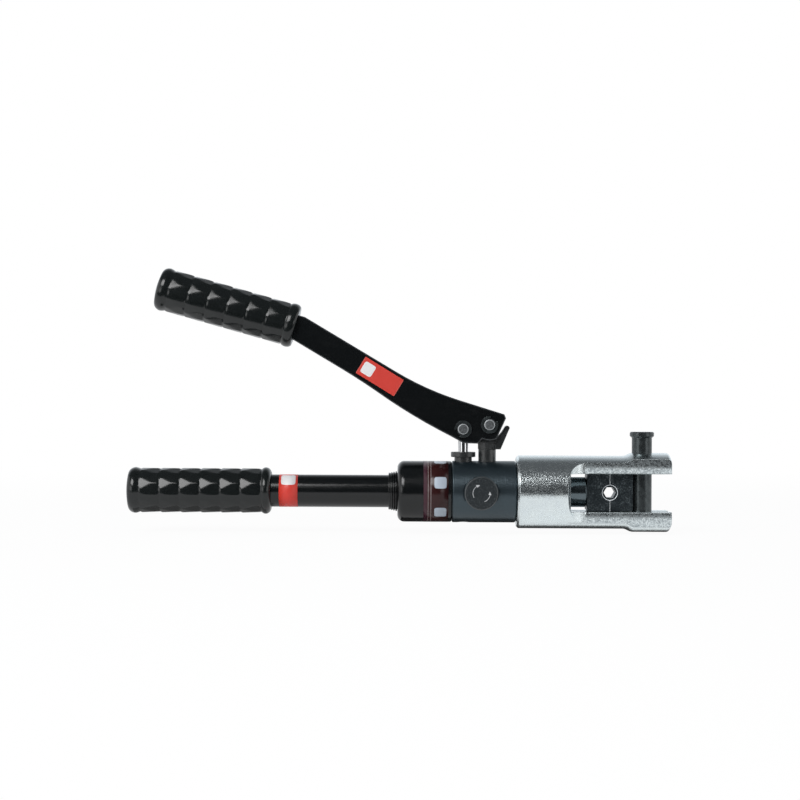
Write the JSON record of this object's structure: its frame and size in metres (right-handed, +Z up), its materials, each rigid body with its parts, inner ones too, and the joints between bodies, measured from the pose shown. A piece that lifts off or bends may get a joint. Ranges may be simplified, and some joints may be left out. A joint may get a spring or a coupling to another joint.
{
  "type": "hydraulic crimping tool",
  "caption": "Hand pumped hydraulic crimping tool: fork head with hexagonal dies and a latch pin, pump body with release knob, and two long grips.",
  "frame": {"origin": "centre of the hexagonal crimp nest, with the dies closed", "axes": "+X along the tool towards the mouth of the head, +Z up towards the pumping lever, -Y out of the side that carries the release knob"},
  "size_m": [0.4768, 0.067, 0.2297],
  "materials": {
    "zinc_steel": "satin",
    "bright_steel": "polished",
    "blackened_steel": "satin",
    "dark_steel": "satin",
    "slate_paint": "satin",
    "black_paint": "gloss",
    "grip_rubber": "gloss",
    "seal_rubber": "matte",
    "brass": "satin"
  },
  "bodies": {
    "pump": {"pump_body": "slate_paint", "swivel_ring": "bright_steel", "cylinder_seal": "seal_rubber", "gland_nut": "blackened_steel", "plunger_seal": "seal_rubber", "fulcrum_post": "blackened_steel", "reservoir_shell": "black_paint", "shell_seal": "seal_rubber", "oil_bladder": "seal_rubber", "bladder_clamp": "bright_steel", "filler_plug": "brass", "suction_strainer": "bright_steel", "inlet_ball": "bright_steel", "inlet_spring": "bright_steel", "inlet_plug": "dark_steel", "outlet_ball": "bright_steel", "outlet_spring": "bright_steel", "outlet_plug": "dark_steel", "relief_ball": "bright_steel", "relief_spring": "bright_steel", "relief_screw": "dark_steel", "handle_collar": "grip_rubber", "handle_tube": "black_paint", "handle_grip": "grip_rubber"},
    "head": {"fork_head": "zinc_steel", "fixed_die": "blackened_steel", "ram_wiper": "seal_rubber", "detent_ball": "bright_steel", "detent_spring": "bright_steel", "detent_screw": "dark_steel"},
    "ram": {"ram": "dark_steel", "piston_seal": "seal_rubber", "moving_die": "blackened_steel", "die_set_screw": "dark_steel", "ram_return_spring": "bright_steel"},
    "latch": {"latch_pin": "blackened_steel"},
    "lever": {"lever": "black_paint", "lever_grip": "grip_rubber", "fulcrum_pin": "dark_steel", "plunger_pin": "dark_steel", "pin_clips": "blackened_steel"},
    "plunger": {"plunger": "bright_steel"},
    "release": {"release_knob": "slate_paint", "release_screw": "dark_steel", "release_seal": "seal_rubber", "knob_set_screw": "dark_steel"}
  },
  "joints": [
    {"name": "head_swivel", "type": "hinge", "parent": "pump", "child": "head", "pos_m": [-0.082, 0, 0], "axis": [1, 0, 0], "range_deg": [-90, 90]},
    {"name": "ram_slide", "type": "slide", "parent": "head", "child": "ram", "axis": [1, 0, 0], "range_m": [-0.013, 0], "deforming": ["ram_return_spring"]},
    {"name": "latch_lift", "type": "slide", "parent": "head", "child": "latch", "axis": [0, 0, 1], "range_m": [0, 0.049]},
    {"name": "lever_swing", "type": "hinge", "parent": "pump", "child": "lever", "pos_m": [-0.1056, 0, 0.0588], "axis": [0, -1, 0], "range_deg": [-25, 16.5]},
    {"name": "plunger_stroke", "type": "slide", "parent": "pump", "child": "plunger", "axis": [0, 0, 1], "range_m": [-0.0066, 0.01]},
    {"name": "release_turn", "type": "hinge", "parent": "pump", "child": "release", "pos_m": [-0.1134, 0, 0], "axis": [0, -1, 0], "range_deg": [0, 90]}
  ],
  "couplings": [
    {"joint": "plunger_stroke", "follows": "lever_swing", "m_per_rad": -0.0228}
  ]
}
